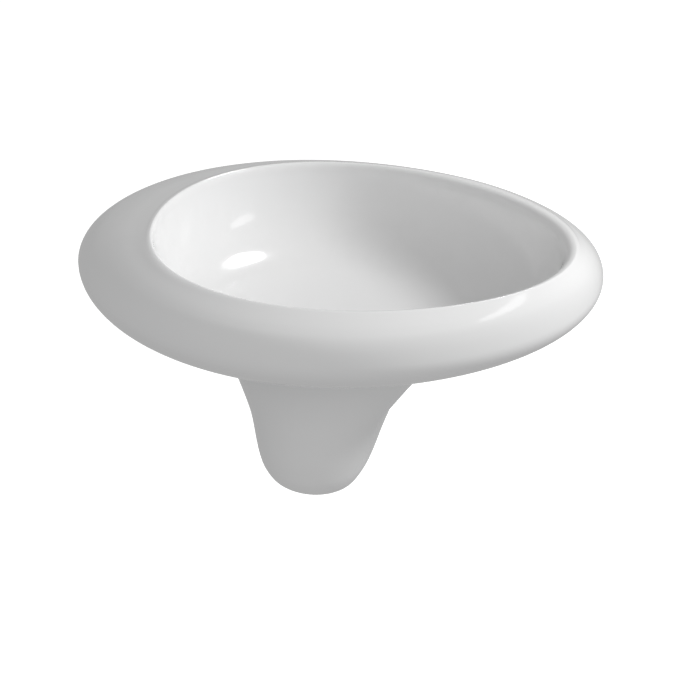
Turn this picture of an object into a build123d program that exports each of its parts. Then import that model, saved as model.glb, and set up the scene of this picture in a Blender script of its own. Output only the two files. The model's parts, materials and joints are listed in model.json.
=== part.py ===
from build123d import *
import math
import os
import numpy as np

# Wall-hung ceramic basin with a ceramic trap cover, millimetres.
# Origin: on the wall plane (y = 0), midway between the two hanging studs.
# +X right, +Y into the wall (the basin projects towards -Y), +Z up.

# ---------------------------------------------------------------- driving sizes
RIM_Z = 65.0                     # highest line of the rim above the hanging studs
EQ_Z = 8.4                       # height of the widest ring
EQ_A, EQ_B = 331.0, 285.4        # half width and half depth of the widest ring
EQ_C = (0.0, -235.4)             # its centre
AP_A, AP_B = 263.0, 219.3        # half width and half depth of the rim's crest line
AP_C = (37.6, -264.7)            # its centre: the opening sits right of the middle
AP_ROT, AP_EC, AP_ES = 0.026, 0.030, 0.008
EQ_EC, EQ_ES = 0.009, 0.018
BELLY_H, BELLY_P = 78.4, 0.703   # drop of the belly below the widest ring, and its fullness
BOWL_Z = -57.0                   # bowl floor at the drain
DRAIN = (0.0, -300.0)            # drain axis
DRAIN_R = 33.0                   # ring of the bowl floor round the drain
RECESS_R = 32.6                  # recess that the waste flange sits in
SKIN = 11.5                      # outer ceramic wall
BOWL_T = 12.0                    # bowl wall
BACK_T = 13.0                    # wall land
BOSS_R, BOSS_Z = 42.0, -104.0    # drain boss under the bowl
STUD_X, STUD_HOLE_R = 140.0, 10.0   # 280 mm between the hanging studs
STUD_R, STUD_OUT = 5.0, 60.0     # stud shank in the wall
COVER_T = 11.0                   # trap cover wall
COVER_GAP = 0.8                  # joint between the cover and the basin's underside
COVER_BACK = -2.0                # the cover's rear edge stops this short of the wall
PIPE_Z, PIPE_R, PIPE_OUT = -160.0, 16.0, 45.0   # outlet pipe into the wall
PLUG_TRAVEL = 8.0                # click plug, open to closed
SIDE_Y, SIDE_Z = -24.0, -105.0   # side screws that hold the trap cover
NPT = 24                         # points on each ring

# Trap cover stations, top to tip: height, half width, front line, rear line, rear taper
CZ = [20.0, -20.0, -40.0, -65.0, -85.0, -115.0, -145.0, -175.0, -205.0, -235.0, -255.0, -270.0, -279.0, -283.0]
CA = [229.0, 229.0, 227.0, 183.4, 156.7, 129.6, 105.1, 84.6, 75.5, 67.8, 57.3, 45.0, 28.5, 9.5]
CF = [-418.0, -418.0, -415.7, -389.0, -377.5, -373.0, -373.5, -375.5, -376.0, -371.5, -361.5, -342.5, -321.0, -299.0]
CB = [52.0, 52.0, 54.0, 65.0, 80.0, 98.0, 98.0, 60.0, -40.0, -135.0, -205.0, -250.0, -280.0, -294.0]
CT = [0.8, 0.8, 0.8, 0.8, 0.7, 0.6, 0.5, 0.5, 0.5, 0.5, 0.4, 0.2, 0.0, 0.0]

TH = np.linspace(0, 2 * np.pi, NPT, endpoint=False)


def pchip(xk, yk, x):
    """Monotone cubic through the stations (xk rising)."""
    xk, yk = np.asarray(xk, float), np.asarray(yk, float)
    h, d = np.diff(xk), np.diff(yk) / np.diff(xk)
    m = np.zeros(len(xk))
    for i in range(1, len(xk) - 1):
        if d[i - 1] * d[i] > 0:
            w1, w2 = 2 * h[i] + h[i - 1], h[i] + 2 * h[i - 1]
            m[i] = (w1 + w2) / (w1 / d[i - 1] + w2 / d[i])
    m[0], m[-1] = d[0], d[-1]
    x = np.asarray(x, float)
    i = np.clip(np.searchsorted(xk, x) - 1, 0, len(xk) - 2)
    t = (x - xk[i]) / h[i]
    return ((1 + 2 * t) * (1 - t) ** 2 * yk[i] + t * (1 - t) ** 2 * h[i] * m[i]
            + t * t * (3 - 2 * t) * yk[i + 1] + t * t * (t - 1) * h[i] * m[i + 1])


def base_ring(a, b, c, rot, ec, es, th=TH):
    r = 1 + ec * np.cos(3 * th) + es * np.sin(3 * th)
    x, y = a * np.cos(th) * r, b * np.sin(th) * r
    return np.column_stack([c[0] + x * math.cos(rot) - y * math.sin(rot),
                            c[1] + x * math.sin(rot) + y * math.cos(rot)])


APEX = base_ring(AP_A, AP_B, AP_C, AP_ROT, AP_EC, AP_ES)
EQ = base_ring(EQ_A, EQ_B, EQ_C, 0.0, EQ_EC, EQ_ES)
AP0, EQ0 = np.array(AP_C), np.array(EQ_C)
DR = np.array(DRAIN)
AP_MEAN = (AP_A + AP_B) / 2

# rim crest down to the widest ring: share of the way out, share of the way down
FLANK = [(0.04, 0.005), (0.1, 0.03), (0.18, 0.09), (0.4, 0.24), (0.6, 0.4), (0.8, 0.6), (0.92, 0.77), (0.98, 0.9), (1.0, 1.0)]
# bowl: scale of the crest ring, height
BOWL = [(1.0, 65.0), (0.9875, 64.4), (0.975, 62.2), (0.9655, 58.5), (0.958, 53.0), (0.948, 42.0), (0.932, 27.0), (0.908, 10.0),
        (0.868, -9.0), (0.80, -27.0), (0.70, -41.0), (0.57, -49.5), (0.42, -54.0), (0.28, -56.2), (DRAIN_R / AP_MEAN, BOWL_Z)]


def flank_ring(f):
    return APEX * (1 - f) + EQ * f


def belly(t):
    g = math.cos(math.radians(t)) ** BELLY_P
    return g, EQ_Z - BELLY_H * math.sin(math.radians(t))


def eq_ring(g):
    return EQ0 + (EQ - EQ0) * g


def bowl_ring(s, grow=0.0):
    """Crest ring shrunk towards the drain, turning into a circle at the drain."""
    h = (1 - s) / (1 - DRAIN_R / AP_MEAN)
    c = AP0 + (DR - AP0) * h
    w = min(max((0.5 - s) / (0.5 - DRAIN_R / AP_MEAN), 0.0), 1.0)
    w = w * w * (3 - 2 * w)
    k = s + grow / AP_MEAN
    circ = np.column_stack([np.cos(TH + AP_ROT), np.sin(TH + AP_ROT)]) * AP_MEAN
    return c + k * ((APEX - AP0) * (1 - w) + circ * w)


def wire(pts, z):
    n = len(pts)
    return Wire([Edge.make_spline([Vector(float(x), float(y), float(z)) for x, y in pts], periodic=True,
                                  parameters=[i / n for i in range(n + 1)])])


def loft_rings(rings, ruled=False):
    s = Solid.make_loft([wire(p, z) for p, z in rings], ruled)
    if s.volume < 0:
        s = Solid(s.wrapped.Reversed())
    return s


def box(x0, x1, y0, y1, z0, z1):
    return Solid.make_box(x1 - x0, y1 - y0, z1 - z0, Plane((x0, y0, z0)))


def cyl_z(x, y, r, z0, z1):
    return Solid.make_cylinder(r, z1 - z0, Plane((x, y, z0)))


def cyl_y(x, z, r, y0, y1):
    return Solid.make_cylinder(r, y1 - y0, Plane((x, y0, z), x_dir=(1, 0, 0), z_dir=(0, 1, 0)))


def cyl_x(y, z, r, x0, x1):
    return Solid.make_cylinder(r, x1 - x0, Plane((x0, y, z), x_dir=(0, 1, 0), z_dir=(1, 0, 0)))


def dz(r, z0, z1):
    return cyl_z(DRAIN[0], DRAIN[1], r, z0, z1)


def tube_z(ro, ri, z0, z1):
    return dz(ro, z0, z1) - dz(ri, z0 - 1, z1 + 1)


def tube_y(x, z, ro, ri, y0, y1):
    return cyl_y(x, z, ro, y0, y1) - cyl_y(x, z, ri, y0 - 1, y1 + 1)


def prism(plane, af, n, h):
    """Nut blank: n flats, af across them."""
    sk = plane * RegularPolygon(radius=af / 2, side_count=n, major_radius=False)
    return extrude(sk, amount=h)


def one(shape):
    """The single solid of a boolean result."""
    ss = shape.solids()
    return ss[0] if len(ss) == 1 else max(ss, key=lambda q: q.volume)


# ---------------------------------------------------------------- basin body
outer_rings = [(flank_ring(f), RIM_Z - (RIM_Z - EQ_Z) * q) for f, q in FLANK]
for t in (9, 18, 27, 36, 46, 56, 66, 74):
    g, z = belly(t)
    outer_rings.append((eq_ring(g), z))
outer_rings += [(eq_ring(0.30), -70.4), (eq_ring(0.16), -72.0)]
bowl_rings = [(bowl_ring(s), z) for s, z in reversed(BOWL)]
dish = loft_rings(bowl_rings + outer_rings, True)
wall_side = box(-500, 500, 0, 300, -400, 200)

# hollow of the rim: an upright-walled space between the bowl and the outer skin
HOL_Z0, HOL_Z1 = -24.0, 30.0


def slab(pts, z0, z1):
    f = Face(wire(pts, z0))
    return extrude(f, amount=z1 - z0, dir=(0, 0, 1))


hollow = slab(eq_ring(0.90), HOL_Z0, HOL_Z1) - slab(bowl_ring(0.938, BOWL_T), HOL_Z0 - 5, HOL_Z1 + 5)
hollow = hollow - box(-500, 500, -BACK_T, 300, -200, 200)        # wall land
hollow = hollow - box(-34, 34, -600, -300, -200, 200)            # solid web round the overflow way
hollow = hollow - box(-7, 7, -300, 300, -200, 200)               # web in the middle of the back
hollow = hollow - box(225, 500, -600, 300, -200, 200)            # the narrow side is solid

tools = [wall_side] + [h for h in hollow.solids()]
for sx in (-1, 1):
    x = sx * STUD_X
    tools.append(cyl_y(x, 0, STUD_HOLE_R, -BACK_T - 30, 1))      # fixing hole
    # hand hole from below, so that the nut can be reached
    hand = box(x - 24 + sx * 7, x + 24 + sx * 7, -66, -BACK_T - 0.2, -120, 21)
    tools.append(fillet(hand.edges().filter_by(Axis.Z), 9).solids()[0])
tools += [dz(RECESS_R, BOWL_Z - 3, BOWL_Z + 20), dz(23.0, BOSS_Z - 5, BOWL_Z + 5)]

# overflow: round hole high in the hidden front wall, and the way down to the drain
OF_Z = 30.0


def bowl_front(z):
    zs = [q[1] for q in BOWL][::-1]
    s = float(np.interp(z, zs, [q[0] for q in BOWL][::-1]))
    p = bowl_ring(s)
    i = int(np.argmin(p[:, 1]))
    j = range(i - 3, i + 4)
    return float(np.interp(0.0, [p[k % NPT, 0] for k in j], [p[k % NPT, 1] for k in j]))


OF_Y = bowl_front(OF_Z)
slope = (bowl_front(OF_Z + 8) - bowl_front(OF_Z - 8)) / 16.0       # dy/dz of the wall
of_n = Vector(0, 1, -slope).normalized()                           # out of the wall, into the bowl
of_plane = Plane((0, OF_Y, OF_Z), x_dir=(1, 0, 0), z_dir=of_n)
tools += [Solid.make_cylinder(11.0, 17.0, of_plane.offset(-16.0)), Solid.make_cylinder(14.2, 9.0, of_plane.offset(-1.2))]
duct_top, duct_bot = [], []
for z in (OF_Z + 12.0, OF_Z - 6.0, 8.0, -10.0, -26.0, -39.0, -47.0, -51.5):
    y = bowl_front(z)
    e = 1.0
    ty, tz = bowl_front(z - e) - bowl_front(z + e), -2 * e
    n = math.hypot(ty, tz)
    ny, nz = tz / n, -ty / n                                       # away from the bowl, down and to the front
    duct_top.append((y + ny * 10.5, z + nz * 10.5))
    duct_bot.append((y + ny * 18.5, z + nz * 18.5))
duct_top.append((-326.0, -66.5))
duct_bot.append((-326.0, -75.0))
duct_top.append((-310.0, -77.0))
duct_bot.append((-310.0, -88.0))
poly = duct_top + duct_bot[::-1]
duct_face = make_face(Polyline(*[(0, y, z) for y, z in poly], close=True))
duct = extrude(duct_face, amount=11.0, dir=(1, 0, 0), both=True)
tools.append(duct.solids()[0])
body = one(dish - tools[0])
for k, tool in enumerate(tools[1:]):
    body = one(body - tool)
body = one(body + (dz(BOSS_R, BOSS_Z, BOWL_Z - 9) - dz(23.0, BOSS_Z - 5, BOWL_Z + 5)))

# ---------------------------------------------------------------- trap cover
ZUP = np.array(CZ[::-1])


def cover_yc(a, yf, yb):
    return np.minimum(yf + a, np.where(yb < yf + 2 * a, (yf + yb) / 2, yf + a))


def cover_ring(z, t=0.0):
    """Points of the cover's outside at height z (one value, or one for each point), t inside it."""
    z = np.broadcast_to(np.asarray(z, float), TH.shape)
    f = lambda v, q: pchip(ZUP, v[::-1], np.clip(q, CZ[-1], CZ[0]))
    a, yf, yb, k = (f(v, z) for v in (CA, CF, CB, CT))
    if t:
        g = [t * np.sqrt(1 + ((f(v, z + 1) - f(v, z - 1)) / 2) ** 2) for v in (CA, CF, CB)]
        a, yf, yb = a - np.minimum(g[0], 2.0 * t), yf + np.minimum(g[1], 2.0 * t), yb - np.minimum(g[2], 3.0 * t)
    yc = cover_yc(a, yf, yb)
    s, c = np.sin(TH), np.cos(TH)
    by = np.where(s < 0, yc - yf, yb - yc)
    return np.column_stack([a * c * (1 - k * np.maximum(s, 0) ** 2), yc + by * s])


def cover_half_width(y, z):
    a, yf, yb, k = (float(pchip(ZUP, v[::-1], z)) for v in (CA, CF, CB, CT))
    yc = float(cover_yc(a, yf, yb))
    s = (y - yc) / (yb - yc if y > yc else yc - yf)
    return a * math.sqrt(max(1 - s * s, 0)) * (1 - k * max(s, 0) ** 2)


def belly_z(p):
    """Height of the dish's underside over each point."""
    d = (p - EQ0) / np.array([EQ_A, EQ_B])
    th = np.arctan2(d[:, 1], d[:, 0])
    g = np.hypot(d[:, 0], d[:, 1]) / (1 + EQ_EC * np.cos(3 * th) + EQ_ES * np.sin(3 * th))
    g = np.clip(g, 0.0, 0.97)
    return EQ_Z - BELLY_H * np.sqrt(np.maximum(1 - g ** (2 / BELLY_P), 0.0))


def cover_top(t):
    """Height of the cover's top edge at each point: where it meets the underside, less the joint."""
    z = np.full(TH.shape, -60.0)
    for _ in range(60):
        z = 0.6 * z + 0.4 * (belly_z(cover_ring(z, t)) - COVER_GAP)
    return z


KNEE = -85.0                                                     # below this the rings lie level
top_o, top_i = cover_top(0.0), cover_top(COVER_T)


def wire3(p, z):
    n = len(p)
    return Wire([Edge.make_spline([Vector(float(q[0]), float(q[1]), float(h)) for q, h in zip(p, z)], periodic=True,
                                  parameters=[i / n for i in range(n + 1)])])


def cover_wires(t, top, levels):
    out = []
    for v in (1.0, 0.75, 0.5, 0.25):
        z = KNEE + v * (top - KNEE)
        out.append(wire3(cover_ring(z, t), z))
    return out + [wire3(cover_ring(z, t), np.full(TH.shape, float(z))) for z in levels]


OUT_L = [-85, -100, -115, -130, -145, -160, -175, -190, -205, -220, -235, -246, -255, -263, -270, -275, -279, -281.5, -283]
IN_L = [-85, -100, -115, -130, -145, -160, -175, -190, -205, -220, -235, -246, -255, -262, -268]
cover = Solid.make_loft(cover_wires(COVER_T, top_i, IN_L)[::-1] + cover_wires(0.0, top_o, OUT_L), True)
behind = box(-500, 500, COVER_BACK, 400, -400, 200)
xs = cover_half_width(SIDE_Y, SIDE_Z)
XI = xs - 31.0                                                    # inner face of the screw bosses
cover = one(cover - behind)
for sx in (-1, 1):
    x0, x1 = sorted((sx * XI, sx * (xs - 5.5)))
    cover = cover + cyl_x(SIDE_Y, SIDE_Z, 13.0, x0, x1)
holes = []
for sx in (-1, 1):
    x0, x1 = sorted((sx * (XI - 5), sx * (xs + 40)))
    holes.append(cyl_x(SIDE_Y, SIDE_Z, 3.4, x0, x1))
    x0, x1 = sorted((sx * (xs - 12), sx * (xs + 40)))
    holes.append(cyl_x(SIDE_Y, SIDE_Z, 7.5, x0, x1))
cover = one(cover.cut(*holes))

# ---------------------------------------------------------------- wall fixing
studs, sleeves, washers, nuts, caps = [], [], [], [], []
for sx in (-1, 1):
    x = sx * STUD_X
    studs.append(one(cyl_y(x, 0, 4.9, -34, 0) + cyl_y(x, 0, STUD_R, 0, STUD_OUT - 8)
                     + Solid.make_cone(STUD_R, 1.2, 8, Plane((x, STUD_OUT - 8, 0), x_dir=(1, 0, 0), z_dir=(0, 1, 0)))))
    sleeves.append(one(tube_y(x, 0, 9.85, 5.0, -BACK_T, -0.3) + tube_y(x, 0, 15.0, 5.0, -BACK_T - 3.2, -BACK_T - 0.2)))
    washers.append(tube_y(x, 0, 11.0, 5.2, -BACK_T - 5.2, -BACK_T - 3.2))
    nuts.append(one(prism(Plane((x, -BACK_T - 13.2, 0), x_dir=(1, 0, 0), z_dir=(0, 1, 0)), 17.0, 6, 8.0)
                    - cyl_y(x, 0, 4.95, -60, 0)))
    caps.append(one(tube_y(x, 0, 7.4, 5.3, -BACK_T - 24.0, -BACK_T - 13.4)
                    + cyl_y(x, 0, 7.4, -BACK_T - 26.0, -BACK_T - 24.0)))

# ---------------------------------------------------------------- trap cover fixing
brackets, wall_screws, side_screws, side_nuts, side_caps = [], [], [], [], []
for sx in (-1, 1):
    def xb(u0, u1):
        return tuple(sorted((sx * u0, sx * u1)))
    a = box(*xb(XI - 34, XI - 0.4), -4, 0, SIDE_Z - 15, SIDE_Z + 15)
    b = box(*xb(XI - 4.4, XI - 0.4), -40, 0, SIDE_Z - 15, SIDE_Z + 15)
    br = one(a + b)
    br = br - cyl_y(sx * (XI - 20), SIDE_Z, 3.3, -10, 5) - cyl_x(SIDE_Y, SIDE_Z, 3.3, *xb(XI - 10, XI + 5))
    brackets.append(one(br))
    xw = sx * (XI - 20)
    wall_screws.append(one(cyl_y(xw, SIDE_Z, 6.0, -7.5, -4.0) + cyl_y(xw, SIDE_Z, 3.2, -4.0, 0.0) + cyl_y(xw, SIDE_Z, 3.0, 0.0, 40.0)
                           + Solid.make_cone(3.0, 0.8, 6, Plane((xw, 40.0, SIDE_Z), x_dir=(1, 0, 0), z_dir=(0, 1, 0)))))
    side_screws.append(one(cyl_x(SIDE_Y, SIDE_Z, 5.5, *xb(xs - 12.0, xs - 8.5)) + cyl_x(SIDE_Y, SIDE_Z, 3.0, *xb(XI - 12.0, xs - 11.9))))
    pl = Plane((sx * (XI - 4.4), SIDE_Y, SIDE_Z), x_dir=(0, 1, 0), z_dir=(-sx, 0, 0))
    side_nuts.append(one(prism(pl, 10.0, 6, 5.0) - cyl_x(SIDE_Y, SIDE_Z, 3.05, *xb(XI - 20, XI))))
    side_caps.append(one(cyl_x(SIDE_Y, SIDE_Z, 7.3, *xb(xs - 8.3, xs - 7.0))
                         + Solid.make_cone(7.3, 4.0, 2.2, Plane((sx * (xs - 7.0), SIDE_Y, SIDE_Z), x_dir=(0, 1, 0), z_dir=(sx, 0, 0)))))

# ---------------------------------------------------------------- overflow trim
ofr = Solid.make_cylinder(13.8, 1.4, of_plane.offset(-1.0))
ofr = ofr + Solid.make_cylinder(10.8, 11.0, of_plane.offset(-12.0))
ofr = one(ofr - Solid.make_cylinder(9.0, 20.0, of_plane.offset(-15.0)))

# ---------------------------------------------------------------- waste
SEAT = BOWL_Z - 3.0                                              # recess floor
flange_seal = tube_z(31.0, 23.5, SEAT, SEAT + 1.2)
wb = dz(32.1, SEAT + 1.2, SEAT + 3.6) + dz(22.0, -133.0, SEAT + 1.2)
wb = wb - dz(18.5, -134.0, SEAT + 10)
wb = wb - Solid.make_cone(18.4, 22.0, 3.2, Plane((DRAIN[0], DRAIN[1], SEAT + 0.5)))
for y0, y1 in ((DRAIN[1] - 30, DRAIN[1]), (DRAIN[1], DRAIN[1] + 30)):
    wb = wb - box(-8, 8, y0, y1, -90, -76)                       # overflow windows
waste_body = one(wb)
cart = tube_z(18.45, 16.2, -104.0, -99.0) + dz(7.0, -112.0, -94.0)
for k in range(3):
    arm = box(0, 17.0, DRAIN[1] - 1.3, DRAIN[1] + 1.3, -104.0, -99.0)
    cart = cart + arm.rotate(Axis((DRAIN[0], DRAIN[1], 0), (0, 0, 1)), 30 + 120 * k)
cartridge = one(cart - dz(4.06, -120, -80))
PLUG_Z = SEAT + 3.6 + PLUG_TRAVEL                                 # underside of the open plug's brim
cap_pts = [(0, 0.0), (30.8, 0.0), (31.8, 0.8), (31.2, 2.2), (27.0, 3.4), (16.0, 4.6), (0, 5.0)]
cap_face = make_face(Polyline(*[(DRAIN[0] + x, DRAIN[1], PLUG_Z + z) for x, z in cap_pts], close=True))
cap_solid = revolve(cap_face, Axis((DRAIN[0], DRAIN[1], 0), (0, 0, 1)), 360)
plug_cap = one(cap_solid + dz(15.0, PLUG_Z - 7.0, PLUG_Z) - dz(3.0, PLUG_Z - 8.0, PLUG_Z + 1.0))
seal_prof = Plane((DRAIN[0] + 16.65, DRAIN[1], PLUG_Z - 4.0), x_dir=(1, 0, 0), z_dir=(0, -1, 0)) * Circle(1.5)
plug_seal = one(revolve(seal_prof, Axis((DRAIN[0], DRAIN[1], 0), (0, 0, 1)), 360))
plug_stem = one(dz(4.0, -116.0, PLUG_Z - 7.0) + dz(2.95, PLUG_Z - 7.0, PLUG_Z + 0.5))
helix = Edge.make_helix(pitch=4.1, height=37.1, radius=5.6, center=(DRAIN[0], DRAIN[1], -93.2))
spring = sweep(Plane(origin=helix @ 0, z_dir=helix % 0) * Circle(0.55), path=helix)
spring = one(spring)
body_seal = tube_z(34.0, 22.1, BOSS_Z - 4.0, BOSS_Z)
backing_washer = tube_z(33.0, 22.3, BOSS_Z - 6.0, BOSS_Z - 4.0)
lock_top = BOSS_Z - 6.0
waste_locknut = one(prism(Plane((DRAIN[0], DRAIN[1], lock_top - 8.0)), 56.0, 8, 8.0) - dz(22.04, -150, -90))

# ---------------------------------------------------------------- bottle trap
NUT_T, NUT_B = -120.5, -140.0
inlet = prism(Plane((DRAIN[0], DRAIN[1], NUT_B)), 53.0, 12, NUT_T - NUT_B)
inlet = inlet - dz(22.04, -137.6, NUT_T + 1) - dz(18.4, NUT_B - 1, -137.0)
trap_inlet_nut = one(inlet)
trap_inlet_seal = tube_z(21.8, 17.0, -135.2, -133.0)
HEAD_T, HEAD_B = -142.0, -178.0
head_pts = [(14.6, -135.2), (21.6, -135.2), (21.6, -137.6), (18.2, -137.6), (18.2, HEAD_T), (27.0, HEAD_T - 1.0), (32.5, HEAD_T - 5.0),
            (34.0, HEAD_T - 11.0), (34.0, HEAD_B), (31.2, HEAD_B), (31.2, -170.0), (30.2, -169.0), (30.2, HEAD_T - 12.0), (25.0, HEAD_T - 6.0),
            (18.0, HEAD_T - 4.6), (18.0, HEAD_T - 9.0), (14.6, HEAD_T - 9.0)]
head_face = make_face(Polyline(*[(DRAIN[0] + x, DRAIN[1], z) for x, z in head_pts], close=True))
head = revolve(head_face, Axis((DRAIN[0], DRAIN[1], 0), (0, 0, 1)), 360)
port_y0, port_y1 = DRAIN[1] + 24.0, DRAIN[1] + 58.0
core_void = dz(30.2, -169.0, HEAD_T - 12.0)
port = cyl_y(DRAIN[0], PIPE_Z, 20.0, port_y0, port_y1) - core_void - dz(31.2, -181.0, -169.5) - dz(34.4, -190.0, HEAD_B)
head = head + port
head = head - cyl_y(DRAIN[0], PIPE_Z, 16.6, DRAIN[1] + 22.0, port_y1 + 1)
trap_head = one(head)
dip = tube_z(16.2, 14.8, -226.0, -151.2) + tube_z(17.9, 14.8, -151.2 - 4, -151.2)
trap_dip_tube = one(dip)
cup_pts = [(0, -250.0), (12.0, -249.0), (22.0, -244.5), (28.5, -236.0), (31.0, -225.0), (31.0, -181.4), (33.8, -181.4), (33.8, -179.4),
           (31.1, -179.4), (31.1, -170.6), (28.6, -170.6), (28.6, -225.0), (26.3, -234.8), (20.4, -242.4), (11.2, -246.5), (0, -247.4)]
cup_face = make_face(Polyline(*[(DRAIN[0] + x, DRAIN[1], z) for x, z in cup_pts], close=True))
trap_cup = one(revolve(cup_face, Axis((DRAIN[0], DRAIN[1], 0), (0, 0, 1)), 360))
trap_cup_seal = tube_z(33.6, 31.25, -179.4, -178.0)
on0 = port_y1 - 14.0
on = prism(Plane((DRAIN[0], on0, PIPE_Z), x_dir=(1, 0, 0), z_dir=(0, 1, 0)), 48.0, 12, 24.0)
on = on - cyl_y(DRAIN[0], PIPE_Z, 20.04, on0 - 1, port_y1 + 4.0) - cyl_y(DRAIN[0], PIPE_Z, 16.3, on0, on0 + 30)
trap_outlet_nut = one(on)
trap_outlet_seal = tube_y(DRAIN[0], PIPE_Z, 19.8, 16.05, port_y1, port_y1 + 3.6)
pipe = tube_y(DRAIN[0], PIPE_Z, PIPE_R, 14.8, DRAIN[1] + 36.0, PIPE_OUT)
pipe = pipe + tube_y(DRAIN[0], PIPE_Z, 18.2, 15.5, -8.0, -4.0)    # stop bead just in front of the wall
outlet_pipe = one(pipe)

# ---------------------------------------------------------------- write the pieces
pieces = {
    "basin_body": [body], "trap_cover": [cover],
    "hanger_studs": studs, "stud_sleeves": sleeves, "stud_washers": washers, "stud_nuts": nuts, "stud_nut_caps": caps,
    "cover_brackets": brackets, "bracket_wall_screws": wall_screws, "cover_side_screws": side_screws, "cover_screw_nuts": side_nuts, "cover_screw_caps": side_caps,
    "overflow_ring": [ofr],
    "waste_flange_seal": [flange_seal], "waste_body": [waste_body], "click_cartridge": [cartridge], "click_spring": [spring],
    "plug_cap": [plug_cap], "plug_seal": [plug_seal], "plug_stem": [plug_stem],
    "waste_under_seal": [body_seal], "waste_backing_washer": [backing_washer], "waste_locknut": [waste_locknut],
    "trap_inlet_nut": [trap_inlet_nut], "trap_inlet_seal": [trap_inlet_seal], "trap_head": [trap_head], "trap_dip_tube": [trap_dip_tube],
    "trap_cup_seal": [trap_cup_seal], "trap_cup": [trap_cup],
    "trap_outlet_nut": [trap_outlet_nut], "trap_outlet_seal": [trap_outlet_seal], "outlet_pipe": [outlet_pipe],
}
os.makedirs("parts", exist_ok=True)
for name, solids in pieces.items():
    solids = [one(q) for q in solids]
    shape = solids[0] if len(solids) == 1 else Compound(children=solids)
    export_step(shape, f"parts/{name}.step")
print("side screw half width", round(xs, 2), "inner face of the bosses", round(XI, 2), "overflow", round(OF_Y, 2), [round(v, 3) for v in of_n])
for name in ("basin_body", "trap_cover"):
    print(name, "valid", pieces[name][0].is_valid, "litres", round(pieces[name][0].volume / 1e6, 3))
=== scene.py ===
import bpy
import bmesh
import json
import math
import numpy as np
from mathutils import Matrix, Vector


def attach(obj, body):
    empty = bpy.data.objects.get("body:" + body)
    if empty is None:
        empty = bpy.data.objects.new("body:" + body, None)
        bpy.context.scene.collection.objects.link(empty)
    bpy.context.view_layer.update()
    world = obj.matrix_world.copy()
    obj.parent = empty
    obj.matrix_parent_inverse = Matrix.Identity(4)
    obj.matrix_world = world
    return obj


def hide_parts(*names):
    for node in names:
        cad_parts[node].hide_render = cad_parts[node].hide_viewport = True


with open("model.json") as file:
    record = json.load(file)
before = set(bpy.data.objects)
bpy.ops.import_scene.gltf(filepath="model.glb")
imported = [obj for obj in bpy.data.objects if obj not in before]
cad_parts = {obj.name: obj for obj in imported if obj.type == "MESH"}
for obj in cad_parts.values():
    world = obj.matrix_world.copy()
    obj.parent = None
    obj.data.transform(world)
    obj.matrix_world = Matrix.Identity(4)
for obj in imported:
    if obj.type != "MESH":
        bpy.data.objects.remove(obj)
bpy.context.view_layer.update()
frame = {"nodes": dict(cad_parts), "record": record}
nodes = frame["nodes"]

# ---------------------------------------------------------------- sizes, millimetres, as in the CAD
RIM_Z, EQ_Z = 65.0, 8.4
EQ_A, EQ_B, EQ_C = 331.0, 285.4, (0.0, -235.4)
AP_A, AP_B, AP_C = 263.0, 219.3, (37.6, -264.7)
AP_ROT, AP_EC, AP_ES = 0.026, 0.030, 0.008
EQ_EC, EQ_ES = 0.009, 0.018
BELLY_H, BELLY_P = 78.4, 0.703
BOWL_Z, DRAIN, DRAIN_R, RECESS_R = -57.0, (0.0, -300.0), 33.0, 32.6
BACK_T, BOSS_R, BOSS_Z = 13.0, 42.0, -104.0
STUD_X, STUD_HOLE_R = 140.0, 10.0
COVER_T, COVER_GAP, COVER_BACK = 11.0, 0.8, -2.0
SIDE_Y, SIDE_Z = -24.0, -105.0
CZ = [20.0, -20.0, -40.0, -65.0, -85.0, -115.0, -145.0, -175.0, -205.0, -235.0, -255.0, -270.0, -279.0, -283.0]
CA = [229.0, 229.0, 227.0, 183.4, 156.7, 129.6, 105.1, 84.6, 75.5, 67.8, 57.3, 45.0, 28.5, 9.5]
CF = [-418.0, -418.0, -415.7, -389.0, -377.5, -373.0, -373.5, -375.5, -376.0, -371.5, -361.5, -342.5, -321.0, -299.0]
CB = [52.0, 52.0, 54.0, 65.0, 80.0, 98.0, 98.0, 60.0, -40.0, -135.0, -205.0, -250.0, -280.0, -294.0]
CT = [0.8, 0.8, 0.8, 0.8, 0.7, 0.6, 0.5, 0.5, 0.5, 0.5, 0.4, 0.2, 0.0, 0.0]
FLANK = [(0.0, 0.0), (0.04, 0.005), (0.1, 0.03), (0.18, 0.09), (0.4, 0.24), (0.6, 0.4), (0.8, 0.6), (0.92, 0.77), (0.98, 0.9), (1.0, 1.0)]
LEFT_FLANK = [(0.0, 0.0), (0.02, 0.008), (0.06, 0.038), (0.18, 0.12), (0.4, 0.265), (0.6, 0.42), (0.8, 0.61), (0.92, 0.775), (0.98, 0.9), (1.0, 1.0)]
CREST = 0.978                      # the edge is tighter on the left
LEFT_EDGE = [(CREST, 65.0), (0.9715, 64.2), (0.9655, 61.6), (0.961, 57.6), (0.957, 52.0)]
BOWL = [(1.0, 65.0), (0.9875, 64.4), (0.975, 62.2), (0.9655, 58.5), (0.958, 53.0), (0.948, 42.0), (0.932, 27.0), (0.908, 10.0),
        (0.868, -9.0), (0.80, -27.0), (0.70, -41.0), (0.57, -49.5), (0.42, -54.0), (0.28, -56.2)]
NA = 288
TH = np.linspace(0, 2 * np.pi, NA, endpoint=False)
AP_MEAN = (AP_A + AP_B) / 2
BOWL.append((DRAIN_R / AP_MEAN, BOWL_Z))


def base_ring(a, b, c, rot, ec, es):
    r = 1 + ec * np.cos(3 * TH) + es * np.sin(3 * TH)
    x, y = a * np.cos(TH) * r, b * np.sin(TH) * r
    return np.column_stack([c[0] + x * math.cos(rot) - y * math.sin(rot), c[1] + x * math.sin(rot) + y * math.cos(rot)])


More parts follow.
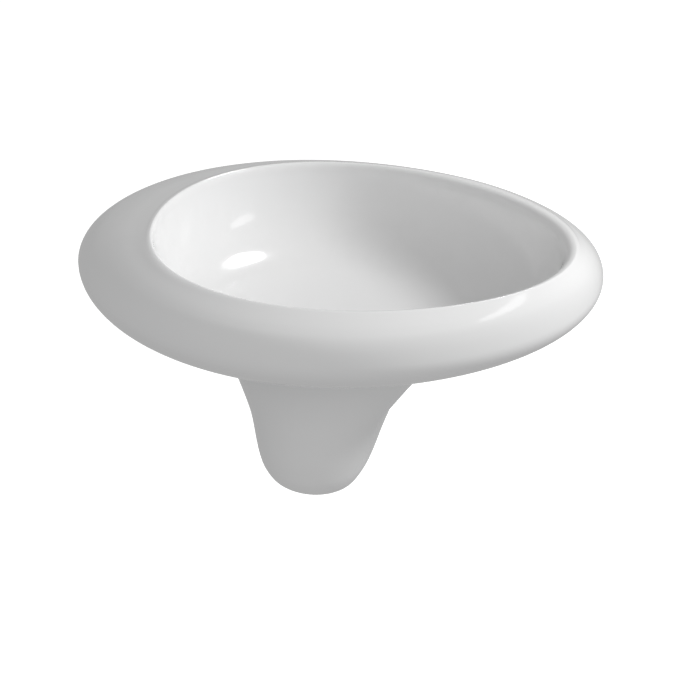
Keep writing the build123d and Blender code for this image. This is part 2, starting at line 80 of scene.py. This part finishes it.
APEX = base_ring(AP_A, AP_B, AP_C, AP_ROT, AP_EC, AP_ES)
EQ = base_ring(EQ_A, EQ_B, EQ_C, 0.0, EQ_EC, EQ_ES)
AP0, EQ0, DR = np.array(AP_C), np.array(EQ_C), np.array(DRAIN)


def hermite(pts, steps, m0=None, m1=None):
    """A smooth line through the points, as dense points."""
    p = np.array(pts, float)
    d = np.linalg.norm(np.diff(p, axis=0), axis=1)
    s = np.concatenate([[0], np.cumsum(d)])
    m = np.zeros_like(p)
    for i in range(1, len(p) - 1):
        a, b = (p[i] - p[i - 1]) / d[i - 1], (p[i + 1] - p[i]) / d[i]
        m[i] = (a * d[i] + b * d[i - 1]) / (d[i] + d[i - 1])
    m[0] = (p[1] - p[0]) / d[0] if m0 is None else np.array(m0, float)
    m[-1] = (p[-1] - p[-2]) / d[-1] if m1 is None else np.array(m1, float)
    out = []
    for i in range(len(p) - 1):
        for k in range(steps):
            t = k / steps
            out.append((1 + 2 * t) * (1 - t) ** 2 * p[i] + t * (1 - t) ** 2 * d[i] * m[i]
                       + t * t * (3 - 2 * t) * p[i + 1] + t * t * (t - 1) * d[i] * m[i + 1])
    out.append(p[-1])
    return np.array(out)


def bowl_ring(s, grow=0.0):
    h = (1 - s) / (1 - DRAIN_R / AP_MEAN)
    c = AP0 + (DR - AP0) * h
    w = min(max((0.5 - s) / (0.5 - DRAIN_R / AP_MEAN), 0.0), 1.0)
    w = w * w * (3 - 2 * w)
    circ = np.column_stack([np.cos(TH + AP_ROT), np.sin(TH + AP_ROT)]) * AP_MEAN
    return c + (s + grow / AP_MEAN) * ((APEX - AP0) * (1 - w) + circ * w)


def eq_ring(g):
    return EQ0 + (EQ - EQ0) * g


def circle(r):
    return DR + r * np.column_stack([np.cos(TH), np.sin(TH)])


def lay(p, z):
    return np.column_stack([p, np.broadcast_to(np.asarray(z, float), (len(p),))])


def ring_mesh(name, rings, close=True):
    """One skin through the rings, closed at both ends, or joined from the last ring to the first."""
    bm = bmesh.new()
    rows = [[bm.verts.new(tuple(float(v) / 1000 for v in p)) for p in r] for r in rings]
    n = len(rows[0])
    pairs = list(zip(rows[:-1], rows[1:]))
    if not close:
        pairs.append((rows[-1], rows[0]))
    for a, b in pairs:
        for i in range(n):
            bm.faces.new((a[i], a[(i + 1) % n], b[(i + 1) % n], b[i]))
    if close:
        for row in (rows[0], rows[-1]):
            bm.faces.new(row)
    bmesh.ops.recalc_face_normals(bm, faces=bm.faces)
    me = bpy.data.meshes.new(name)
    bm.to_mesh(me)
    bm.free()
    o = bpy.data.objects.new(name, me)
    bpy.context.scene.collection.objects.link(o)
    return o


def drum(name, centre, r, length, axis, n=96):
    """Round cutter along an axis from a centre, millimetres."""
    ax = Vector(axis).normalized()
    u = ax.orthogonal().normalized()
    w = ax.cross(u)
    c = Vector(centre)
    rings = []
    for t in (0.0, length):
        rings.append([tuple(c + ax * t + (u * math.cos(2 * math.pi * i / n) + w * math.sin(2 * math.pi * i / n)) * r) for i in range(n)])
    return ring_mesh(name, rings)


def block(name, x0, x1, y0, y1, z0, z1, r=0.0):
    """Upright block cutter with rounded corners in plan."""
    pts = []
    if r:
        for cx, cy, a0 in ((x1 - r, y1 - r, 0), (x0 + r, y1 - r, 90), (x0 + r, y0 + r, 180), (x1 - r, y0 + r, 270)):
            pts += [(cx + r * math.cos(math.radians(a0 + k * 15)), cy + r * math.sin(math.radians(a0 + k * 15))) for k in range(7)]
    else:
        pts = [(x1, y1), (x0, y1), (x0, y0), (x1, y0)]
    return ring_mesh(name, [[(x, y, z0) for x, y in pts], [(x, y, z1) for x, y in pts]])


def carve(o, cutters, kind="DIFFERENCE"):
    for c in cutters:
        m = o.modifiers.new("cut", "BOOLEAN")
        m.operation = kind
        m.solver = "EXACT"
        m.object = c
        bpy.context.view_layer.update()
        me = bpy.data.meshes.new_from_object(o.evaluated_get(bpy.context.evaluated_depsgraph_get()))
        o.modifiers.clear()
        old = o.data
        o.data = me
        bpy.data.meshes.remove(old)
    for c in cutters:
        bpy.data.objects.remove(c)
    return o


def smooth(o, angle=38):
    for p in o.data.polygons:
        p.use_smooth = True
    o.data.set_sharp_from_angle(angle=math.radians(angle))


# ---------------------------------------------------------------- basin body
bowl_line = hermite([(s * AP_MEAN, z) for s, z in BOWL], 5, m0=(-1, 0), m1=(-1, 0))
flank_line = hermite([(f * 70.0, -q * (RIM_Z - EQ_Z)) for f, q in FLANK], 5, m0=(1, 0), m1=(0, -1))
rings = [lay(circle(r), z) for r, z in ((20.0, BOWL_Z - 3), (RECESS_R, BOWL_Z - 3), (RECESS_R, BOWL_Z))]
left_bowl = hermite([(s * AP_MEAN, z) for s, z in LEFT_EDGE + BOWL[5:]], 5, m0=(-1, 0), m1=(-1, 0))
left_flank = hermite([(f * 70.0, -q * (RIM_Z - EQ_Z)) for f, q in LEFT_FLANK], 5, m0=(1, 0), m1=(0, -1))
LEFT = np.clip(1.25 * np.cos(TH - math.radians(150)), 0.0, 1.0)[:, None]
LEFT = LEFT * LEFT * (3 - 2 * LEFT)
for (u, z), (ul, zl) in zip(bowl_line[::-1], left_bowl[::-1]):
    rings.append(lay(bowl_ring(u / AP_MEAN), z) * (1 - LEFT) + lay(bowl_ring(ul / AP_MEAN), zl) * LEFT)
# the front-right shoulder slopes more evenly from the rim and stands up lower down
SHOULDER = [(0.0, 0.0), (0.05, 0.012), (0.1, 0.032), (0.2, 0.076), (0.4, 0.170), (0.6, 0.280), (0.8, 0.435), (0.92, 0.62), (0.98, 0.81), (1.0, 1.0)]
shoulder = hermite([(f * 70.0, -q * (RIM_Z - EQ_Z)) for f, q in SHOULDER], 5, m0=(1, 0), m1=(0, -1))
FULL = np.clip(1.15 * np.maximum(np.cos(TH + math.radians(62)), 0.0) ** 1.2, 0.0, 1.0)[:, None]
CREST_RING = bowl_ring(CREST)
for (u, z), (ul, zl) in zip(flank_line[1:], left_flank[1:]):
    v = float(np.interp(-z, -shoulder[:, 1], shoulder[:, 0]))
    f, fl = (u + FULL * (v - u)) / 70.0, ul / 70.0
    rings.append(lay(APEX * (1 - f) + EQ * f, RIM_Z + z) * (1 - LEFT) + lay(CREST_RING * (1 - fl) + EQ * fl, RIM_Z + zl) * LEFT)
for t in list(np.arange(2.5, 80.0, 2.5)):
    rings.append(lay(eq_ring(math.cos(math.radians(t)) ** BELLY_P), EQ_Z - BELLY_H * math.sin(math.radians(t))))
rings += [lay(eq_ring(0.2), -71.4), lay(eq_ring(0.1), -72.0)]
basin = ring_mesh("basin_glazed", rings)
carve(basin, [block("wall_cut", -500, 500, 0, 300, -400, 200)])
boss = ring_mesh("boss", [lay(circle(r), z) for r, z in ((30.0, -64.0), (BOSS_R + 3, -64.0), (BOSS_R + 1.2, -68.0), (BOSS_R + 0.3, -72.0), (BOSS_R, -76.0),
                                                        (BOSS_R, BOSS_Z + 1.5), (BOSS_R - 1.5, BOSS_Z), (20.0, BOSS_Z))])
carve(basin, [boss], "UNION")
cutters = [drum("drain", (DRAIN[0], DRAIN[1], -120.0), 23.0, 80.0, (0, 0, 1))]
OF_Y, OF_Z, OF_N = -473.03, 30.0, (0.0, 0.979, 0.206)
ofc = Vector((0.0, OF_Y, OF_Z))
ofn = Vector(OF_N).normalized()
cutters += [drum("of_seat", tuple(ofc - ofn * 1.2), 14.2, 9.0, ofn), drum("of_hole", tuple(ofc - ofn * 16.0), 11.0, 17.0, ofn)]
for sx in (-1, 1):
    x = sx * STUD_X
    cutters.append(drum("fix", (x, -BACK_T - 40, 0), STUD_HOLE_R, BACK_T + 60, (0, 1, 0)))
    cutters.append(block("hand", x - 24 + sx * 7, x + 24 + sx * 7, -66, -BACK_T, -160, 21, 9.0))
carve(basin, cutters)
smooth(basin)

# ---------------------------------------------------------------- trap cover
ZUP = np.array(CZ[::-1])


def pchip(xk, yk, x):
    xk, yk = np.asarray(xk, float), np.asarray(yk, float)
    h, d = np.diff(xk), np.diff(yk) / np.diff(xk)
    m = np.zeros(len(xk))
    for i in range(1, len(xk) - 1):
        if d[i - 1] * d[i] > 0:
            w1, w2 = 2 * h[i] + h[i - 1], h[i] + 2 * h[i - 1]
            m[i] = (w1 + w2) / (w1 / d[i - 1] + w2 / d[i])
    m[0], m[-1] = d[0], d[-1]
    x = np.asarray(x, float)
    i = np.clip(np.searchsorted(xk, x) - 1, 0, len(xk) - 2)
    t = (x - xk[i]) / h[i]
    return ((1 + 2 * t) * (1 - t) ** 2 * yk[i] + t * (1 - t) ** 2 * h[i] * m[i]
            + t * t * (3 - 2 * t) * yk[i + 1] + t * t * (t - 1) * h[i] * m[i + 1])


def cover_line(v, z):
    return pchip(ZUP, v[::-1], np.clip(z, CZ[-1], CZ[0]))


def cover_ring(z, t=0.0):
    z = np.broadcast_to(np.asarray(z, float), TH.shape)
    a, yf, yb, k = (cover_line(v, z) for v in (CA, CF, CB, CT))
    if t:
        g = [t * np.sqrt(1 + ((cover_line(v, z + 1) - cover_line(v, z - 1)) / 2) ** 2) for v in (CA, CF, CB)]
        a, yf, yb = a - np.minimum(g[0], 2.0 * t), yf + np.minimum(g[1], 2.0 * t), yb - np.minimum(g[2], 3.0 * t)
    yc = np.minimum(yf + a, np.where(yb < yf + 2 * a, (yf + yb) / 2, yf + a))
    s, c = np.sin(TH), np.cos(TH)
    by = np.where(s < 0, yc - yf, yb - yc)
    return np.column_stack([a * c * (1 - k * np.maximum(s, 0) ** 2), yc + by * s])


def belly_z(p):
    d = (p - EQ0) / np.array([EQ_A, EQ_B])
    th = np.arctan2(d[:, 1], d[:, 0])
    g = np.hypot(d[:, 0], d[:, 1]) / (1 + EQ_EC * np.cos(3 * th) + EQ_ES * np.sin(3 * th))
    g = np.clip(g, 0.0, 0.97)
    return EQ_Z - BELLY_H * np.sqrt(np.maximum(1 - g ** (2 / BELLY_P), 0.0))


def cover_top(t):
    z = np.full(TH.shape, -60.0)
    for _ in range(60):
        z = 0.6 * z + 0.4 * (belly_z(cover_ring(z, t)) - COVER_GAP)
    return z


KNEE = -85.0


def cover_rings(t, levels):
    top = cover_top(t)
    out = [lay(cover_ring(KNEE + v * (top - KNEE), t), KNEE + v * (top - KNEE)) for v in np.linspace(1.0, 0.06, 16)]
    return out + [lay(cover_ring(z, t), z) for z in levels]


low_o = list(np.linspace(-85, -255, 46)) + [-259, -263, -266.5, -270, -273, -276, -278.5, -280.5, -282, -283]
low_i = list(np.linspace(-85, -255, 30)) + [-262, -268]
outer, inner = cover_rings(0.0, low_o), cover_rings(COVER_T, low_i)
tip = [lay(outer[-1][:, :2] * k + np.array([0.0, -296.5]) * (1 - k), -283.0) for k in (0.6, 0.2)]
inner_end = [lay(inner[-1][:, :2] * 0.4 + np.array([0.0, -300.0]) * 0.6, -268.0)]
cover = ring_mesh("trap_cover_glazed", inner_end + inner[::-1] + outer + tip)
cover_cut = [block("behind", -500, 500, COVER_BACK, 400, -400, 200)]
xs = 78.54                          # half width of the cover at the side screws
carve(cover, [drum("side_boss", (sx * (xs - 31.0), SIDE_Y, SIDE_Z), 13.0, 25.5, (sx, 0, 0)) for sx in (-1, 1)], "UNION")
for sx in (-1, 1):
    cover_cut.append(drum("side_hole", (sx * (xs - 36.0), SIDE_Y, SIDE_Z), 3.4, 30.0, (sx, 0, 0), 48))
    cover_cut.append(drum("side", (sx * (xs - 12.0), SIDE_Y, SIDE_Z), 7.5, 60.0, (sx, 0, 0)))
carve(cover, cover_cut)
smooth(cover)

# ---------------------------------------------------------------- materials


def material(name):
    m = bpy.data.materials.new(name)
    m.use_nodes = True
    t = m.node_tree
    t.nodes.clear()
    out = t.nodes.new("ShaderNodeOutputMaterial")
    b = t.nodes.new("ShaderNodeBsdfPrincipled")
    t.links.new(b.outputs[0], out.inputs[0])
    co = t.nodes.new("ShaderNodeTexCoord")
    return m, t, b, co


def noise(t, co, scale, detail=3.0, rough=0.5, stretch=None):
    n = t.nodes.new("ShaderNodeTexNoise")
    n.inputs["Scale"].default_value = scale
    n.inputs["Detail"].default_value = detail
    n.inputs["Roughness"].default_value = rough
    if stretch:
        mp = t.nodes.new("ShaderNodeMapping")
        mp.inputs["Scale"].default_value = stretch
        t.links.new(co.outputs["Object"], mp.inputs[0])
        t.links.new(mp.outputs[0], n.inputs["Vector"])
    else:
        t.links.new(co.outputs["Object"], n.inputs["Vector"])
    return n


def ramp(t, n, stops):
    r = t.nodes.new("ShaderNodeValToRGB")
    e = r.color_ramp.elements
    while len(e) < len(stops):
        e.new(0.5)
    for k, (p, c) in enumerate(stops):
        e[k].position = p
        e[k].color = (*c, 1.0)
    t.links.new(n.outputs[0], r.inputs[0])
    return r


def span(t, n, lo, hi):
    r = t.nodes.new("ShaderNodeMapRange")
    r.inputs["From Min"].default_value = 0.3
    r.inputs["From Max"].default_value = 0.7
    r.inputs["To Min"].default_value = lo
    r.inputs["To Max"].default_value = hi
    t.links.new(n.outputs[0], r.inputs["Value"])
    return r


def bump(t, b, n, dist, strength=1.0):
    k = t.nodes.new("ShaderNodeBump")
    k.inputs["Strength"].default_value = strength
    k.inputs["Distance"].default_value = dist
    t.links.new(n.outputs[0], k.inputs["Height"])
    t.links.new(k.outputs[0], b.inputs["Normal"])
    return k


def finish_of(name, low, high, rough, scale=40.0, metal=0.0, bump_d=0.0, bump_scale=300.0, stretch=None, coat=0.0):
    m, t, b, co = material(name)
    n = noise(t, co, scale, stretch=stretch)
    r = ramp(t, n, [(0.3, low), (0.7, high)])
    t.links.new(r.outputs[0], b.inputs["Base Color"])
    s = span(t, noise(t, co, scale * 2.3, 4.0, stretch=stretch), *rough)
    t.links.new(s.outputs[0], b.inputs["Roughness"])
    b.inputs["Metallic"].default_value = metal
    if coat:
        b.inputs["Coat Weight"].default_value = coat
        b.inputs["Coat Roughness"].default_value = 0.06
    if bump_d:
        bump(t, b, noise(t, co, bump_scale, 2.0, stretch=stretch), bump_d)
    return m


# vitreous china: white body under a thick clear glaze with a faint orange-peel ripple
glaze, t, b, co = material("white_glaze")
tone = noise(t, co, 3.0, 4.0, 0.55)
r = ramp(t, tone, [(0.30, (0.785, 0.787, 0.790)), (0.70, (0.806, 0.806, 0.804))])
t.links.new(r.outputs[0], b.inputs["Base Color"])
s = span(t, noise(t, co, 9.0, 3.0), 0.12, 0.17)
t.links.new(s.outputs[0], b.inputs["Roughness"])
b.inputs["IOR"].default_value = 1.5
b.inputs["Coat Weight"].default_value = 0.5
b.inputs["Coat Roughness"].default_value = 0.05
b.inputs["Coat IOR"].default_value = 1.52
wave = noise(t, co, 26.0, 2.0, 0.4)
peel = noise(t, co, 260.0, 2.0, 0.5)
k1 = t.nodes.new("ShaderNodeBump")
k1.inputs["Distance"].default_value = 0.00004
k1.inputs["Strength"].default_value = 1.0
t.links.new(wave.outputs[0], k1.inputs["Height"])
k2 = t.nodes.new("ShaderNodeBump")
k2.inputs["Distance"].default_value = 0.000012
k2.inputs["Strength"].default_value = 1.0
t.links.new(peel.outputs[0], k2.inputs["Height"])
t.links.new(k1.outputs[0], k2.inputs["Normal"])
t.links.new(k2.outputs[0], b.inputs["Normal"])

chrome = finish_of("chrome_plate", (0.78, 0.79, 0.81), (0.84, 0.85, 0.86), (0.05, 0.10), 30.0, 1.0, 0.00001, 90.0)
zinc = finish_of("zinc_steel", (0.52, 0.54, 0.56), (0.66, 0.67, 0.66), (0.28, 0.42), 160.0, 1.0, 0.00003, 700.0)
galv = finish_of("galvanised_steel", (0.46, 0.48, 0.50), (0.60, 0.62, 0.63), (0.34, 0.5), 90.0, 1.0, 0.00004, 320.0)
nylon = finish_of("white_nylon", (0.70, 0.70, 0.66), (0.77, 0.77, 0.73), (0.42, 0.52), 80.0, 0.0, 0.00003, 600.0)
cap_white = finish_of("white_cap", (0.70, 0.70, 0.70), (0.74, 0.74, 0.735), (0.18, 0.26), 60.0, 0.0, 0.00002, 500.0)
rubber = finish_of("black_rubber", (0.018, 0.018, 0.019), (0.035, 0.035, 0.036), (0.55, 0.72), 120.0, 0.0, 0.00005, 900.0)
grey = finish_of("grey_plastic", (0.10, 0.105, 0.11), (0.14, 0.145, 0.15), (0.38, 0.5), 90.0, 0.0, 0.00003, 700.0)
wire = finish_of("spring_steel", (0.55, 0.55, 0.56), (0.68, 0.68, 0.69), (0.22, 0.34), 300.0, 1.0, 0.00002, 900.0)
brass = finish_of("brass", (0.56, 0.38, 0.13), (0.68, 0.49, 0.20), (0.22, 0.36), 140.0, 1.0, 0.00003, 500.0, stretch=(1, 1, 8))

FINISH = {"white_ceramic": glaze, "zinc_steel": zinc, "galvanised_steel": galv, "white_nylon": nylon, "white_cap": cap_white, "chrome_plate": chrome,
          "black_rubber": rubber, "grey_plastic": grey, "spring_steel": wire, "brass_stem": brass, "brass_nut": brass}
for sp in frame["record"]["subparts"]:
    o = nodes[sp["node"]]
    m = FINISH[sp["material_slot"]]
    if not o.material_slots:
        o.data.materials.append(m)
    for s in o.material_slots:
        s.material = m
for o, node in ((basin, "basin_body"), (cover, "trap_cover")):
    o.data.materials.clear()
    o.data.materials.append(glaze)
    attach(o, "basin")
    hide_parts(node)

# ---------------------------------------------------------------- floor, light, camera
def pale(name, low, high, glow):
    m, t, b, co = material(name)
    r = ramp(t, noise(t, co, 0.8, 2.0), [(0.3, low), (0.7, high)])
    t.links.new(r.outputs[0], b.inputs["Base Color"])
    t.links.new(r.outputs[0], b.inputs["Emission Color"])
    b.inputs["Emission Strength"].default_value = glow
    b.inputs["Roughness"].default_value = 0.9
    b.inputs["Specular IOR Level"].default_value = 0.0
    return m


me = bpy.data.meshes.new("floor")
bm = bmesh.new()
bmesh.ops.create_grid(bm, x_segments=40, y_segments=40, size=9.0)
bm.to_mesh(me)
bm.free()
floor = bpy.data.objects.new("floor", me)
floor.location = (0, 0, -0.785)
bpy.context.scene.collection.objects.link(floor)
me.materials.append(pale("pale_floor", (0.90, 0.90, 0.90), (0.92, 0.92, 0.92), 0.62))

# a pale round studio wall far outside the lights
me = bpy.data.meshes.new("backdrop")
bm = bmesh.new()
bmesh.ops.create_uvsphere(bm, u_segments=64, v_segments=32, radius=8.9)
bmesh.ops.reverse_faces(bm, faces=bm.faces)
bm.to_mesh(me)
bm.free()
backdrop = bpy.data.objects.new("backdrop", me)
bpy.context.scene.collection.objects.link(backdrop)
me.materials.append(pale("pale_wall", (0.93, 0.93, 0.93), (0.95, 0.95, 0.95), 0.80))
for o in (floor, backdrop):
    for p in o.data.polygons:
        p.use_smooth = True
    o.visible_diffuse = False
    o.visible_glossy = False
    o.visible_shadow = False

scene = bpy.context.scene
world = bpy.data.worlds.new("studio")
scene.world = world
world.use_nodes = True
bg = world.node_tree.nodes.get("Background") or world.node_tree.nodes.new("ShaderNodeBackground")
bg.inputs[0].default_value = (1.0, 1.0, 1.0, 1.0)
bg.inputs[1].default_value = 0.444


def soft_light(name, toward, away, size, power, height=None, aim=(0.0, -0.25, 0.0), diffuse=True, glossy=True, roll=0.0):
    """A soft light that stands in the direction toward, seen from aim."""
    d = Vector(toward).normalized()
    ld = bpy.data.lights.new(name, "AREA")
    ld.shape = "DISK" if height is None else "ELLIPSE"
    ld.size = size
    if height is not None:
        ld.size_y = height
    ld.energy = power
    o = bpy.data.objects.new(name, ld)
    o.location = Vector(aim) + d * away
    o.rotation_euler = (d.to_track_quat("Z", "Y").to_matrix() @ Matrix.Rotation(math.radians(roll), 3, "Z")).to_euler()
    o.visible_diffuse = diffuse
    o.visible_glossy = glossy
    scene.collection.objects.link(o)
    return o


def heading(a, e):
    a, e = math.radians(a), math.radians(e)
    return math.cos(a) * math.cos(e), math.sin(a) * math.cos(e), math.sin(e)


soft_light("key", heading(18, 35), 3.2, 0.8, 72.0, glossy=False)
soft_light("fill", heading(-65, 25), 3.5, 2.5, 19.1, glossy=False)
# two small soft boxes that only show as highlights in the glaze
soft_light("shine_bowl", (0.28, 0.44, 0.85), 3.0, 0.95, 34.0, aim=(-0.142, -0.186, -0.035), diffuse=False)
soft_light("shine_rim", (0.906, -0.088, 0.414), 3.0, 1.3, 3.6, height=0.55, aim=(0.263, -0.385, 0.053), diffuse=False)

az, el, dist = math.radians(20.0), math.radians(25.0), 2.6
target = Vector((0.0, -0.235, 0.005))
back = Vector((math.sin(az) * math.cos(el), -math.cos(az) * math.cos(el), math.sin(el)))
cd = bpy.data.cameras.new("camera")
cam = bpy.data.objects.new("camera", cd)
cam.location = target + back * dist
cam.rotation_euler = back.to_track_quat("Z", "Y").to_euler()
cd.lens = 2084.0 / 675.0 * 36.0
cd.sensor_width = 36.0
cd.sensor_fit = "HORIZONTAL"
cd.shift_x = (337.5 - 333.264) / 675.0
cd.shift_y = -(337.5 - 262.017) / 675.0
cd.clip_start, cd.clip_end = 0.05, 60.0
scene.collection.objects.link(cam)
scene.camera = cam
scene.view_settings.view_transform = "Standard"
scene.view_settings.look = "None"
